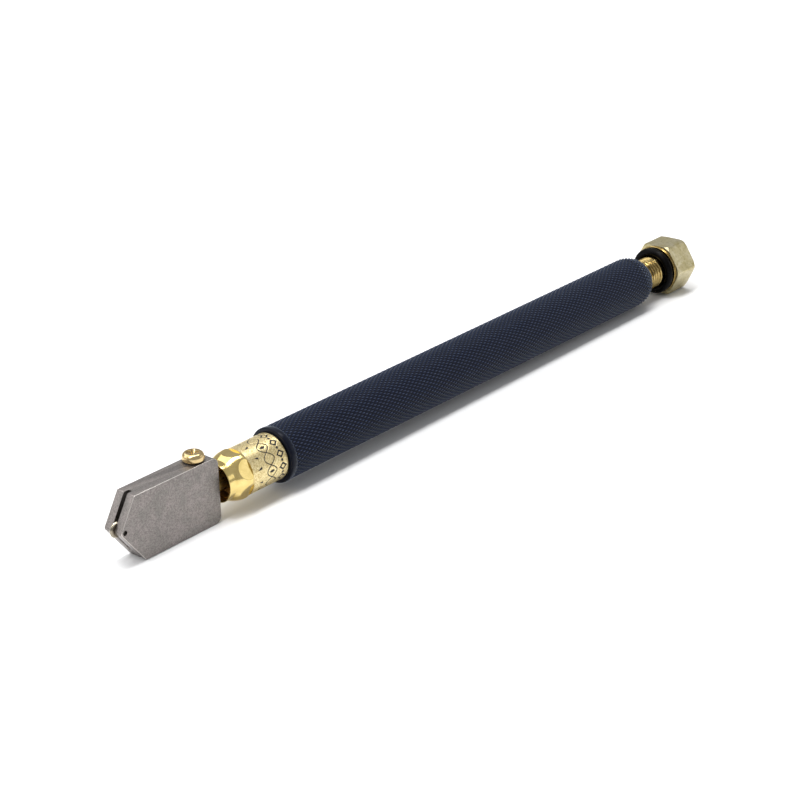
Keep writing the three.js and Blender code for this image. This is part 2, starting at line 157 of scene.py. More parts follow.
PITCH = 1.0
THREAD_MAJOR = 3.75
THREAD_DEPTH = 0.6
THREAD_PLAY = 0.1
THREAD_ORIGIN = 117.4

CAP_FRONT, CAP_REAR = extent("filler_cap", 0)
CAP_HEX_FRONT = 133.4
CAP_FLAT = 5.9
CAP_ROLL = 0.045
RING_X = sum(extent("cap_o_ring", 0)) / 2
RING_OUTER = extent("cap_o_ring", 2)[1]
RING_SECTION = (extent("cap_o_ring", 0)[1] - extent("cap_o_ring", 0)[0]) / 2


# ---------------------------------------------------------------- mesh tools

def fillet(corners, steps=5, loop=False):
    """Rounds each (x, y, radius) corner of a line or loop and returns the plain points."""
    points = []
    count = len(corners)
    for i, corner in enumerate(corners):
        here = np.array(corner[:2], float)
        radius = corner[2] if len(corner) > 2 else 0
        if radius <= 0 or (not loop and i in (0, count - 1)):
            points.append(here)
            continue
        before = np.array(corners[i - 1][:2], float) - here
        after = np.array(corners[(i + 1) % count][:2], float) - here
        room = min(np.linalg.norm(before), np.linalg.norm(after)) * 0.49
        before = before / np.linalg.norm(before)
        after = after / np.linalg.norm(after)
        half = math.acos(float(np.clip(before @ after, -1, 1))) / 2
        reach = min(radius / math.tan(half), room)
        radius = reach * math.tan(half)
        centre = here + (before + after) / np.linalg.norm(before + after) * radius / math.sin(half)
        start = here + before * reach - centre
        end = here + after * reach - centre
        first = math.atan2(start[1], start[0])
        turn = (math.atan2(end[1], end[0]) - first + math.pi) % TAU - math.pi
        for step in range(steps + 1):
            angle = first + turn * step / steps
            points.append(centre + radius * np.array([math.cos(angle), math.sin(angle)]))
    return [tuple(p) for p in points]


def subdivide(points, longest):
    """Adds points so that no stretch of a line is longer than the given length."""
    out = [points[0]]
    for a, b in zip(points, points[1:]):
        pieces = max(1, math.ceil(math.dist(a, b) / longest - 1e-6))
        for k in range(1, pieces + 1):
            out.append(tuple(np.array(a) + (np.array(b) - np.array(a)) * k / pieces))
    return out


def spin(profile, segments, relief=None, loop=False):
    """Vertices and faces of a profile spun about the X axis.

    relief(x, radius, angle) gives how much the surface stands above the profile. Each cell is split
    along the diagonal that lies closer to the true surface, which keeps ridges and grooves clean.
    """
    x = np.array([p[0] for p in profile], float)
    r = np.array([p[1] for p in profile], float)
    if loop:
        x, r = np.append(x, x[0]), np.append(r, r[0])
    angle = np.arange(segments) * TAU / segments
    rise = relief(x[:, None], r[:, None], angle[None, :]) if relief else 0
    radius = np.where(r[:, None] > 1e-6, r[:, None] + rise, 0) + np.zeros((len(x), segments))
    rows = len(x) - 1 if loop else len(x)
    verts = np.stack([
        np.repeat(x[:rows, None], segments, 1),
        -radius[:rows] * np.sin(angle),
        radius[:rows] * np.cos(angle),
    ], -1).reshape(-1, 3)
    index = np.arange(rows * segments).reshape(rows, segments)
    if not loop:
        for row in (0, rows - 1):
            if r[row] <= 1e-6:
                index[row] = index[row, 0]
    a = index if loop else index[:-1]
    b = np.roll(index, -1, 0) if loop else index[1:]
    a_next, b_next = np.roll(a, -1, 1), np.roll(b, -1, 1)
    if relief:
        mid_x, mid_r = (x[1:] + x[:-1]) / 2, (r[1:] + r[:-1]) / 2
        mid_angle = angle[None, :] + math.pi / segments
        true = mid_r[:, None] + relief(mid_x[:, None], mid_r[:, None], mid_angle)
        lower, upper = radius[:-1], radius[1:]
        one = np.abs((lower + np.roll(upper, -1, 1)) / 2 - true)
        other = np.abs((np.roll(lower, -1, 1) + upper) / 2 - true)
        first = one <= other
    else:
        first = np.ones(a.shape, bool)
    faces = np.concatenate([
        np.stack([a, a_next, b_next], -1)[first],
        np.stack([a, b_next, b], -1)[first],
        np.stack([a, a_next, b], -1)[~first],
        np.stack([a_next, b_next, b], -1)[~first],
    ])
    ok = (faces[:, 0] != faces[:, 1]) & (faces[:, 1] != faces[:, 2]) & (faces[:, 2] != faces[:, 0])
    return verts, faces[ok]


def mesh_object(name, verts, faces, values=None):
    """A mesh object in millimetres with its faces turned out.

    values holds lists of numbers, one for each vertex, under the names that the materials know.
    """
    mesh = bpy.data.meshes.new(name)
    mesh.from_pydata([tuple(v) for v in verts], [], [tuple(int(i) for i in f) for f in faces])
    for key, numbers in (values or {}).items():
        layer = mesh.attributes.new(key, "FLOAT", "POINT")
        layer.data.foreach_set("value", np.asarray(numbers, np.float32).ravel())
    editable = bmesh.new()
    editable.from_mesh(mesh)
    loose = [v for v in editable.verts if not v.link_faces]
    bmesh.ops.delete(editable, geom=loose, context="VERTS")
    bmesh.ops.remove_doubles(editable, verts=editable.verts, dist=SAME_POINT)
    bmesh.ops.recalc_face_normals(editable, faces=editable.faces)
    if editable.calc_volume(signed=True) < 0:
        bmesh.ops.reverse_faces(editable, faces=editable.faces)
    editable.to_mesh(mesh)
    editable.free()
    obj = bpy.data.objects.new(name, mesh)
    bpy.context.scene.collection.objects.link(obj)
    return obj


def apply_modifiers(obj):
    """Makes what an object's modifiers do its own mesh."""
    bpy.context.view_layer.update()
    evaluated = obj.evaluated_get(bpy.context.evaluated_depsgraph_get())
    mesh = bpy.data.meshes.new_from_object(evaluated)
    obj.modifiers.clear()
    old, obj.data = obj.data, mesh
    bpy.data.meshes.remove(old)


def cut_out(obj, other):
    """Cuts other from obj, and removes other."""
    modifier = obj.modifiers.new("cut", "BOOLEAN")
    modifier.operation = "DIFFERENCE"
    modifier.solver = "EXACT"
    modifier.object = other
    apply_modifiers(obj)
    bpy.data.objects.remove(other)


def join_flats(obj, gap):
    """Merges points that lie almost on top of each other, and makes each flat one face again."""
    editable = bmesh.new()
    editable.from_mesh(obj.data)
    bmesh.ops.remove_doubles(editable, verts=editable.verts, dist=gap)
    bmesh.ops.dissolve_degenerate(editable, edges=editable.edges, dist=gap)
    bmesh.ops.holes_fill(editable, edges=[e for e in editable.edges if e.is_boundary], sides=4)
    flat = math.radians(0.3)
    bmesh.ops.dissolve_limit(editable, angle_limit=flat, verts=editable.verts, edges=editable.edges)
    editable.to_mesh(obj.data)
    editable.free()


def bevel_edges(obj, width, angle):
    """Rounds every edge that turns by more than an angle in degrees."""
    join_flats(obj, CUT_GAP)
    modifier = obj.modifiers.new("bevel", "BEVEL")
    modifier.width = width
    modifier.segments = 2
    modifier.limit_method = "ANGLE"
    modifier.angle_limit = math.radians(angle)
    modifier.miter_outer = "MITER_ARC"
    apply_modifiers(obj)
    join_flats(obj, BEVEL_GAP)


def place(obj, node, body, slot, material, sharp=35, turn=None):
    """Shades a finished piece, moves it into the frame, and lets it stand for its CAD node."""
    if turn is not None:
        obj.data.transform(turn)
    obj.data.transform(Matrix.Translation(SEAT) @ Matrix.Scale(MM, 4))
    obj.data.shade_smooth()
    obj.data.set_sharp_from_angle(angle=math.radians(sharp))
    obj.data.materials.clear()
    obj.data.materials.append(material)
    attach(obj, body)
    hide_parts(node)
    return obj


def drum(radius, start, end, segments=64):
    """A solid cylinder along X, for cutting."""
    profile = [(start, 0), (start, radius), (end, radius), (end, 0)]
    return mesh_object("tool_drum", *spin(profile, segments))


def upright(x, z=0.0):
    """Turns a piece spun about X so that its axis points up, and moves it to x and z."""
    return Matrix.Translation((x, 0, z)) @ Matrix.Rotation(-math.pi / 2, 4, "Y")


def across(x, z):
    """Turns a piece spun about X so that its axis points along Y, and moves it to x and z."""
    return Matrix.Translation((x, 0, z)) @ Matrix.Rotation(math.pi / 2, 4, "Z")


def cuboid(size, centre):
    """A block, for cutting."""
    corner = math.sqrt(0.5)
    obj = mesh_object("tool_block", *spin([(-0.5, 0), (-0.5, corner), (0.5, corner), (0.5, 0)], 4))
    obj.data.transform(Matrix.Rotation(math.pi / 4, 4, "X"))
    obj.data.transform(Matrix.Translation(centre) @ Matrix.Diagonal((*size, 1)))
    return obj


# ---------------------------------------------------------------- materials

class Finish:
    """A Principled material and the few nodes that shape it. Places are in millimetres on the piece."""

    def __init__(self, name, **settings):
        self.material = bpy.data.materials.new(name)
        self.material.use_nodes = True
        self.tree = self.material.node_tree
        self.shader = self.tree.nodes["Principled BSDF"]
        for socket, value in settings.items():
            self.shader.inputs[socket.replace("_", " ")].default_value = value
        self.place = self.tree.nodes.new("ShaderNodeTexCoord").outputs["Object"]

    def node(self, kind, inputs=None, **properties):
        made = self.tree.nodes.new(kind)
        for key, value in properties.items():
            setattr(made, key, value)
        for key, value in (inputs or {}).items():
            if isinstance(value, bpy.types.NodeSocket):
                self.tree.links.new(value, made.inputs[key])
            else:
                made.inputs[key].default_value = value
        return made

    def stretched(self, scale):
        """Piece coordinates in millimetres, times a scale for each axis."""
        inputs = {"Vector": self.place, "Scale": [s / MM for s in scale]}
        return self.node("ShaderNodeMapping", inputs).outputs[0]

    def noise(self, scale, detail=3.0, roughness=0.55, distortion=0.0):
        inputs = {"Vector": self.stretched(scale), "Scale": 1.0, "Detail": detail}
        inputs.update({"Roughness": roughness, "Distortion": distortion})
        return self.node("ShaderNodeTexNoise", inputs).outputs["Fac"]

    def value(self, name):
        """The numbers that mesh_object() stored under a name."""
        return self.node("ShaderNodeAttribute", attribute_name=name).outputs["Fac"]

    def ramp(self, factor, low, high, start=0.0, end=1.0):
        """Maps a factor from start..end to low..high, with its ends held."""
        inputs = {"Value": factor, "From Min": start, "From Max": end, "To Min": low, "To Max": high}
        return self.node("ShaderNodeMapRange", inputs, clamp=True).outputs["Result"]

    def mix(self, factor, a, b):
        made = self.node("ShaderNodeMix", data_type="RGBA")
        for socket, value in (("Factor", factor), ("A", a), ("B", b)):
            target = [i for i in made.inputs if i.name == socket and i.enabled][0]
            if isinstance(value, bpy.types.NodeSocket):
                self.tree.links.new(value, target)
            else:
                target.default_value = value
        return [o for o in made.outputs if o.enabled][0]

    def math(self, operation, a, b=0.0):
        return self.node("ShaderNodeMath", {0: a, 1: b}, operation=operation).outputs[0]

    def bump(self, height, distance, strength=1.0, under=None):
        inputs = {"Height": height, "Distance": distance * MM, "Strength": strength}
        if under is not None:
            inputs["Normal"] = under
        return self.node("ShaderNodeBump", inputs).outputs["Normal"]

    def set(self, **sockets):
        for name, value in sockets.items():
            self.tree.links.new(value, self.shader.inputs[name.replace("_", " ")])
        return self.material


def rgb(red, green, blue):
    """A colour given as screen values from 0 to 255, as linear light."""
    def linear(c):
        return ((c / 255 + 0.055) / 1.055) ** 2.4 if c > 10 else c / 255 / 12.92

    return (linear(red), linear(green), linear(blue), 1.0)


def steel_finish():
    """Satin ground steel with stains, fine grain and grinding lines, its long edges made shinier as
    rubbed wear and painted lighter as a highlight.
    """
    f = Finish("head_steel", Metallic=1.0, IOR=2.5)
    place = f.node("ShaderNodeSeparateXYZ", {"Vector": f.stretched((1, 1, 1))})
    sideways = f.math("ABSOLUTE", place.outputs["Y"])
    side = HEAD_THICKNESS / 2
    flat_end = side - HEAD_BEVEL
    rubbed_and_highlight = f.ramp(sideways, 0, 1, flat_end, flat_end + 0.05)
    rubbed_and_highlight = f.math("MULTIPLY", rubbed_and_highlight, f.ramp(sideways, 1, 0, side - 0.03, side))
    stain = f.noise((0.28, 0.28, 0.28), 3.0, 0.6, 0.6)
    grain = f.noise((3.4, 3.4, 3.4), 4.0, 0.75)
    lines = f.noise((1.2, 14.0, 1.2), 3.0, 0.6)
    colour = f.mix(f.ramp(stain, 0, 1, 0.36, 0.64), rgb(148, 141, 138), rgb(136, 132, 128))
    colour = f.mix(f.ramp(grain, 0, 0.75, 0.42, 0.68), colour, rgb(92, 87, 84))
    # Painted highlight: the long edges get a lighter colour as a bright edge line, and they are also
    # made less rough as rubbed wear.
    colour = f.mix(rubbed_and_highlight, colour, rgb(206, 200, 194))
    rough = f.math("ADD", f.ramp(grain, 0.36, 0.50), f.ramp(stain, -0.04, 0.05, 0.3, 0.7))
    rough = f.math("SUBTRACT", rough, f.math("MULTIPLY", rubbed_and_highlight, 0.14))
    normal = f.bump(grain, 0.012)
    normal = f.bump(lines, 0.010, 1.0, normal)
    return f.set(Base_Color=colour, Roughness=rough, Normal=normal)


def carbide_finish():
    f = Finish("wheel_carbide", Metallic=1.0)
    lines = f.noise((3.0, 40.0, 3.0), 2.0)
    colour = f.mix(f.noise((2.0, 2.0, 2.0)), rgb(158, 150, 133), rgb(134, 126, 112))
    return f.set(Base_Color=colour, Roughness=f.ramp(lines, 0.16, 0.30), Normal=f.bump(lines, 0.004))


def dark_steel_finish():
    f = Finish("axle_steel", Metallic=1.0)
    wear = f.noise((4.0, 2.0, 4.0))
    colour = f.mix(wear, rgb(70, 66, 62), rgb(34, 31, 28))
    return f.set(Base_Color=colour, Roughness=f.ramp(wear, 0.3, 0.5), Normal=f.bump(wear, 0.01))


def brass_finish(name, bright, dull, rough_low, rough_high, turning=(16.0, 0.6, 0.6)):
    """Turned brass: fine rings from the lathe, slight tarnish, and oily patches that shine more."""
    f = Finish(name, Metallic=1.0)
    tarnish = f.noise((0.5, 0.5, 0.5), 4.0, 0.6, 0.4)
    rings = f.noise(turning, 3.0, 0.6)
    colour = f.mix(f.ramp(tarnish, 0, 1, 0.35, 0.7), bright, dull)
    rough = f.math("ADD", f.ramp(tarnish, rough_low, rough_high, 0.3, 0.7), f.ramp(rings, -0.03, 0.05))
    return f.set(Base_Color=colour, Roughness=rough, Normal=f.bump(rings, 0.006))


def ferrule_finish():
    """Polished nose, satin body with a fine grain, black paint in the engraving, and bores painted dark
    brown as shade.
    """
    f = Finish("ferrule_brass", Metallic=1.0)
    inner = f.value("inner")
    satin = f.value("satin")
    ink = f.ramp(f.value("ink"), 0, 1, 0.35, 0.65)
    tarnish = f.noise((0.45, 0.45, 0.45), 4.0, 0.6, 0.5)
    rings = f.noise((14.0, 0.5, 0.5), 3.0, 0.6)
    grain = f.noise((5.2, 2.8, 2.8), 4.0, 0.75)
    polished = f.mix(f.ramp(tarnish, 0, 1, 0.35, 0.7), rgb(234, 210, 140), rgb(214, 189, 118))
    brushed = f.mix(f.ramp(grain, 0, 1, 0.36, 0.62), rgb(255, 242, 192), rgb(186, 160, 102))
    colour = f.mix(satin, polished, brushed)
    # Painted shade: the inside surfaces of the bores are coloured dark brown, and made rougher below.
    colour = f.mix(inner, colour, rgb(120, 90, 48))
    colour = f.mix(ink, colour, rgb(20, 15, 12))
    rough = f.math("ADD", f.ramp(satin, 0.13, 0.30), f.math("MULTIPLY", f.ramp(grain, 0, 0.16), satin))
    rough = f.math("ADD", rough, f.math("MULTIPLY", inner, 0.25))
    rough = f.math("MAXIMUM", rough, f.math("MULTIPLY", ink, 0.55))
    metal = f.math("SUBTRACT", 1.0, ink)
    height = f.math("ADD", rings, f.math("MULTIPLY", grain, f.ramp(satin, 0.1, 1.8)))
    return f.set(Base_Color=colour, Roughness=rough, Metallic=metal, Normal=f.bump(height, 0.007))


def handle_finish():
    """Dark navy paint over the knurl: its peaks worn with scuffs and painted lighter as highlight
    specks, its grooves painted near black as shade and left duller.
    """
    f = Finish(
        "handle_paint", Metallic=0.0, IOR=1.5, Specular_IOR_Level=0.09,
        Sheen_Weight=0.40, Sheen_Roughness=0.35, Sheen_Tint=(0.72, 0.84, 1.0, 1),
    )
    peak = f.value("peak")
    smooth = f.value("smooth")
    wear = f.noise((0.35, 0.35, 0.35), 4.0, 0.65, 0.5)
    fine = f.noise((4.5, 4.5, 4.5), 3.0, 0.6)
    paint = f.mix(f.ramp(wear, 0, 1, 0.35, 0.65), rgb(14, 24, 52), rgb(20, 31, 59))
    # Painted shade: the knurl's grooves are coloured near black, while the peaks keep the navy paint.
    paint = f.mix(f.ramp(peak, 0, 1, 0.15, 0.70), rgb(1, 2, 5), paint)
    # Painted highlight: the tops of the peaks get light blue-grey specks, which also stand for scuffs
    # in the paint.
    scuffs_and_highlight = f.math("MULTIPLY", f.ramp(peak, 0, 1, 0.62, 0.92), f.ramp(fine, 0.25, 1, 0.42, 0.60))
    paint = f.mix(scuffs_and_highlight, paint, rgb(120, 134, 160))
    paint = f.mix(smooth, paint, rgb(9, 12, 24))
    rough = f.math("ADD", f.ramp(peak, 0.55, 0.24), f.ramp(wear, -0.04, 0.06))
    rough = f.math("SUBTRACT", rough, f.math("MULTIPLY", smooth, 0.16))
    return f.set(Base_Color=paint, Roughness=rough, Normal=f.bump(fine, 0.012))


def cap_finish():
    """Pale, mottled drawn brass on the hexagon, and turned brass on the washer face, neck and thread,
    that turned brass darkened partly as painted shade.
    """
    f = Finish("cap_brass", Metallic=1.0)
    drawn = f.value("drawn")
    tarnish = f.noise((0.35, 0.35, 0.35), 4.0, 0.65, 0.7)
    streak = f.noise((0.7, 9.0, 9.0), 3.0, 0.6)
    rings = f.noise((14.0, 0.6, 0.6), 3.0, 0.6)
    mottle = f.noise((1.6, 1.6, 1.6), 4.0, 0.7)
    pale = f.mix(f.ramp(tarnish, 0, 1, 0.34, 0.66), rgb(206, 197, 164), rgb(184, 172, 126))
    pale = f.mix(f.ramp(streak, 0, 0.4, 0.4, 0.7), pale, rgb(158, 148, 120))
    pale = f.mix(f.ramp(mottle, 0, 0.7, 0.5, 0.68), pale, rgb(146, 134, 84))
    # Painted shade: the turned brass of the washer face, neck and thread is coloured darker than the
    # hexagon, partly its own tone and partly the shade under the hexagon and O-ring.
    bright = f.mix(f.ramp(tarnish, 0, 1, 0.35, 0.7), rgb(184, 162, 108), rgb(142, 122, 74))
    colour = f.mix(drawn, bright, pale)
    rough = f.math("ADD", f.ramp(drawn, 0.17, 0.38), f.ramp(tarnish, -0.04, 0.06, 0.3, 0.7))
    rings = f.math("MULTIPLY", rings, f.ramp(drawn, 1, 0))
    height = f.math("ADD", rings, f.math("MULTIPLY", streak, drawn))
    return f.set(Base_Color=colour, Roughness=rough, Normal=f.bump(height, 0.008))


def rubber_finish():
    f = Finish("seal_rubber", Metallic=0.0, IOR=1.5, Specular_IOR_Level=0.06)
    film = f.noise((0.8, 0.8, 0.8), 3.0)
    grain = f.noise((9.0, 9.0, 9.0), 2.0)
    colour = f.mix(film, rgb(2, 2, 2), rgb(7, 6, 6))
    rough = f.ramp(film, 0.24, 0.42, 0.3, 0.7)
    return f.set(Base_Color=colour, Roughness=rough, Normal=f.bump(grain, 0.006))


def spring_finish():
    f = Finish("spring_steel", Metallic=1.0)
    drawn = f.noise((3.0, 3.0, 3.0), 3.0)
    colour = f.mix(drawn, rgb(206, 206, 210), rgb(168, 168, 172))
    return f.set(Base_Color=colour, Roughness=f.ramp(drawn, 0.18, 0.32), Normal=f.bump(drawn, 0.004))


def wick_finish():
    f = Finish("wick_felt", Metallic=0.0)
    fibre = f.noise((2.0, 9.0, 9.0), 4.0, 0.7)
    colour = f.mix(fibre, rgb(214, 202, 172), rgb(176, 160, 120))
    return f.set(Base_Color=colour, Roughness=f.ramp(fibre, 0.8, 1.0), Normal=f.bump(fibre, 0.05))


STEEL = steel_finish()
CARBIDE = carbide_finish()
DARK_STEEL = dark_steel_finish()
SCREW_BRASS = brass_finish(
    "screw_brass", rgb(216, 192, 144), rgb(184, 158, 108), 0.14, 0.24, turning=(3.0, 3.0, 14.0),
)
STEM_BRASS = brass_finish("stem_brass", rgb(216, 184, 114), rgb(172, 142, 82), 0.24, 0.38)
FERRULE_BRASS = ferrule_finish()
CAP_BRASS = cap_finish()
PAINT = handle_finish()
RUBBER = rubber_finish()
SPRING_STEEL = spring_finish()
WICK = wick_finish()


# ---------------------------------------------------------------- cutting head

def head_outline(inset):
    """The head's outline, moved inwards by the inset, as (x, z) points."""
    corners = [TIP, TOP_FRONT, TOP_REAR, BOTTOM_REAR, BOTTOM_FRONT]
    moved = []
    for i, (x, z, radius) in enumerate(corners):
        here = np.array([x, z])
        before = here - np.array(corners[i - 1][:2])
        after = np.array(corners[(i + 1) % len(corners)][:2]) - here
        before, after = before / np.linalg.norm(before), after / np.linalg.norm(after)
        inward = np.array([before[1], -before[0]]), np.array([after[1], -after[0]])
        bisector = (inward[0] + inward[1]) / (1 + inward[0] @ inward[1])
        moved.append((*(here + bisector * inset), max(radius - inset, 0.04)))
    return fillet(moved, 8, loop=True)


def cutting_head():
    """A plate with rounded long edges, a saw slot at its point, and its bores."""
    half = HEAD_THICKNESS / 2
    steps = 4
    layers = []
    for side in (-1, 1):
        rounds = [(k / steps) * math.pi / 2 for k in range(steps + 1)]
        for angle in (rounds[::-1] if side < 0 else rounds):
            inset = HEAD_BEVEL * (1 - math.cos(angle))
            y = side * (half - HEAD_BEVEL + HEAD_BEVEL * math.sin(angle))
            layers.append((y, head_outline(inset)))
    count = len(layers[0][1])
    verts = [(x, y, z) for y, outline in layers for x, z in outline]
    faces = [tuple(range(count)), tuple(range(len(verts) - count, len(verts)))]
    for layer in range(len(layers) - 1):
        for i in range(count):
            a, b = layer * count + i, layer * count + (i + 1) % count
            faces.append((a, b, b + count, a + count))
    head = mesh_object("cutting_head_visual", verts, faces)

    saw = drum(SAW_RADIUS, -SLOT_WIDTH / 2, SLOT_WIDTH / 2, 240)
    saw.data.transform(across(SLOT_FLOOR - SAW_RADIUS, SLOT_CENTRE_Z))
    cut_out(head, saw)
    axle_hole = drum(AXLE_HOLE, -HEAD_THICKNESS, HEAD_THICKNESS)
    axle_hole.data.transform(across(WHEEL_X, WHEEL_Z))
    cut_out(head, axle_hole)
    bore_end = HEAD_REAR - HEAD_BORE_DEPTH
    cut_out(head, drum(HEAD_BORE, bore_end, HEAD_REAR + 1))
    cut_out(head, drum(OILWAY, SLOT_FLOOR - 1, bore_end + 1, 40))
    screw_hole = drum(SCREW_HOLE, 0, HEAD_TOP + 1)
    screw_hole.data.transform(upright(SCREW_X))
    cut_out(head, screw_hole)
    bevel_edges(head, width=0.05, angle=40)
    place(head, "cutting_head", "head", "head_steel", STEEL, sharp=24)


def cutting_wheel():
    """A disc whose rim comes to an edge."""
    half = WHEEL_WIDTH / 2
    rim = 0.22
    face = WHEEL_RADIUS - rim
    profile = fillet([
        (-half, WHEEL_BORE, 0.04), (-half, face, 0.03), (0, WHEEL_RADIUS, 0.02),
        (half, face, 0.03), (half, WHEEL_BORE, 0.04),
    ], 3, loop=True)
    wheel = mesh_object("cutting_wheel_visual", *spin(profile, 160, loop=True))
    turn = across(WHEEL_X, WHEEL_Z)
    place(wheel, "cutting_wheel", "wheel", "wheel_carbide", CARBIDE, sharp=20, turn=turn)


def wheel_axle():
    half = AXLE_LENGTH / 2
    profile = fillet([(-half, 0), (-half, AXLE_RADIUS, 0.1), (half, AXLE_RADIUS, 0.1), (half, 0)], 4)
    axle = mesh_object("wheel_axle_visual", *spin(profile, 64))
    turn = across(WHEEL_X, WHEEL_Z)
    place(axle, "wheel_axle", "head", "axle_steel", DARK_STEEL, sharp=30, turn=turn)


def clamp_screw():
    """Pan-head screw with a domed top, a tapered cross recess and a fine thread on its shank."""
    length = SCREW_TOP - SCREW_TIP
    seat = SCREW_SEAT - SCREW_TIP
    widest = seat + 0.6
    crown_steps, crown_inset, top_dish = 12, 0.8, 0.06
    profile = fillet([
        (0, 0), (0, SCREW_SHANK, 0.25), (seat, SCREW_SHANK, 0.1), (seat, SCREW_RADIUS, 0.35),
        (widest, SCREW_RADIUS),
    ], 8)
    for step in range(1, crown_steps + 1):
        a = step / crown_steps * math.pi / 2
        rise = (length - top_dish - widest) * math.sin(a)
        profile.append((widest + rise, SCREW_RADIUS - crown_inset * (1 - math.cos(a))))
    profile.append((length, 0))

    def thread(x, radius, angle):
        """A fine screw thread on the shank, fading out at both ends."""
        fade = np.clip((x - 0.3) / 0.4, 0, 1) * np.clip((seat - 0.7 - x) / 0.4, 0, 1)
        wave = np.abs(((x / SCREW_PITCH - angle / TAU) % 1) * 2 - 1)
        on_shank = (radius > SCREW_SHANK - 0.02) & (x < seat - 0.2)
        return np.where(on_shank, -SCREW_THREAD_DEPTH * wave * fade, 0)

    screw = mesh_object("clamp_screw_visual", *spin(subdivide(profile, 0.08), 96, thread))
    for quarter in range(2):
        wing = cuboid((2 * RECESS_DEPTH, 1, 1), (length + 0.05, 0, 0))
        for vertex in wing.data.vertices:
            half_length, half_width = RECESS_FLOOR if vertex.co.x < length else RECESS_MOUTH
            vertex.co.y = math.copysign(half_length, vertex.co.y)
            vertex.co.z = math.copysign(half_width, vertex.co.z)
        wing.data.transform(Matrix.Rotation(quarter * math.pi / 2 + RECESS_TURN, 4, "X"))
        cut_out(screw, wing)
    bevel_edges(screw, width=0.05, angle=42)
    turn = upright(SCREW_X, SCREW_TIP)
    place(screw, "clamp_screw", "screw", "screw_brass", SCREW_BRASS, sharp=28, turn=turn)


# ---------------------------------------------------------------- stem and valve

def stem():
    """The brass rod: spigot, shoulder, O-ring groove, waist with an oil hole, valve collar and tail."""
    shoulder = -17.0
    groove_front, groove_rear, groove = -9.9, -8.7, 1.22
    waist_front, waist, tail = -8.1, 1.6, 1.7
    collar_front, collar_rear = -5.2, -4.2
    bore, bore_end = 0.6, -6.7
    profile = fillet([
        (bore_end, 0), (bore_end, bore), (STEM_FRONT, bore, 0.1), (STEM_FRONT, SPIGOT_RADIUS, 0.2),
        (shoulder, SPIGOT_RADIUS, 0.1), (shoulder, STEM_RADIUS, 0.15),
        (groove_front, STEM_RADIUS, 0.05), (groove_front, groove, 0.05),
        (groove_rear, groove, 0.05), (groove_rear, STEM_RADIUS, 0.05),
        (waist_front, STEM_RADIUS, 0.1), (waist_front, waist, 0.05), (collar_front, waist, 0.05),
        (collar_front, COLLAR_RADIUS, 0.12), (collar_rear, COLLAR_RADIUS, 0.12),
        (collar_rear, tail, 0.1), (STEM_REAR, tail, 0.3), (STEM_REAR, 0),
    ], 4)
    body = mesh_object("stem_visual", *spin(profile, 96))
    oil_hole_x, oil_hole = -7.3, 0.45
    cross_hole = drum(oil_hole, -4, 4, 40)
    cross_hole.data.transform(across(oil_hole_x, 0))
    cut_out(body, cross_hole)
    pocket_floor, pocket_length = 1.0, 2.5
    cut_out(body, cuboid((pocket_length, 6, 2), (SCREW_X, 0, pocket_floor + 1)))
    place(body, "stem", "stem", "stem_brass", STEM_BRASS, sharp=30)


def rubber_ring(name, node, body, x, radius, section):
    """An O-ring: radius reaches to the middle of its section, and section is that circle's radius."""
    sides = 32
    angles = np.arange(sides) * TAU / sides
    circle = [(x + section * math.cos(a), radius + section * math.sin(a)) for a in angles]
    ring = mesh_object(name, *spin(circle, 160, loop=True))
    place(ring, node, body, "seal_rubber", RUBBER, sharp=80)


def valve_seal():
    """A rubber washer with a shallow groove in its front face."""
    front, rear = extent("valve_seal", 0)
    inner, outer, groove = 1.68, 3.0, front + 0.12
    profile = fillet([
        (front, inner, 0.05), (front, 2.2, 0.0), (groove, 2.3, 0.0), (groove, 2.5, 0.0),
        (front, 2.6, 0.0), (front, outer, 0.2), (rear, outer, 0.12), (rear, inner, 0.05),
    ], 4, loop=True)
    seal = mesh_object("valve_seal_visual", *spin(profile, 96, loop=True))
    place(seal, "valve_seal", "stem", "seal_rubber", RUBBER)


def oil_wick():
    """A cotton cord of twisted strands."""
    front, rear = extent("oil_wick", 0)
    radius, strands, twist, strand_depth = 0.44, 5, 2.2, 0.09

    def relief(x, nominal, angle):
        hollow = np.abs(np.sin(strands / 2 * angle - twist * x))
        return -strand_depth * hollow * (nominal > 0.3)

    outline = fillet([(front, 0), (front, radius, 0.15), (rear, radius, 0.15), (rear, 0)], 3)
    wick = mesh_object("oil_wick_visual", *spin(subdivide(outline, 0.12), 40, relief))
    place(wick, "oil_wick", "stem", "wick_felt", WICK, sharp=60)


def valve_spring():
    """A wire helix whose end turns lie almost flat."""
    front, rear = extent("valve_spring", 0)
    wire, coil, turns, around, sides = 0.27, 2.4, 5.0, 40, 14
    clearance, flattening = 0.03, 0.13
    steps = int(turns * around)
    t = np.linspace(0, 1, steps + 1)
    ease = t - flattening * np.sin(TAU * t)
    x = front + wire + clearance + (rear - front - 2 * (wire + clearance)) * ease
    angle = t * turns * TAU
    centre = np.stack([x, coil * np.cos(angle), coil * np.sin(angle)], -1)
    outward = np.stack([0 * angle, np.cos(angle), np.sin(angle)], -1)
    tangent = np.gradient(centre, axis=0)
    tangent /= np.linalg.norm(tangent, axis=1)[:, None]
    side = np.cross(tangent, outward)
    verts = []
    for k in range(sides):
        a = k * TAU / sides
        verts.append(centre + wire * (math.cos(a) * outward + math.sin(a) * side))
    verts = np.stack(verts, 1).reshape(-1, 3)
    faces = []
    for i in range(steps):
        for k in range(sides):
            a, b = i * sides + k, i * sides + (k + 1) % sides
            faces.append((a, b, b + sides, a + sides))
    faces.append(tuple(range(sides)))
    faces.append(tuple(range(steps * sides, (steps + 1) * sides)))
    spring = mesh_object("valve_spring_visual", verts, faces)
    place(spring, "valve_spring", "handle", "spring_steel", SPRING_STEEL, sharp=50)
    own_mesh(spring)


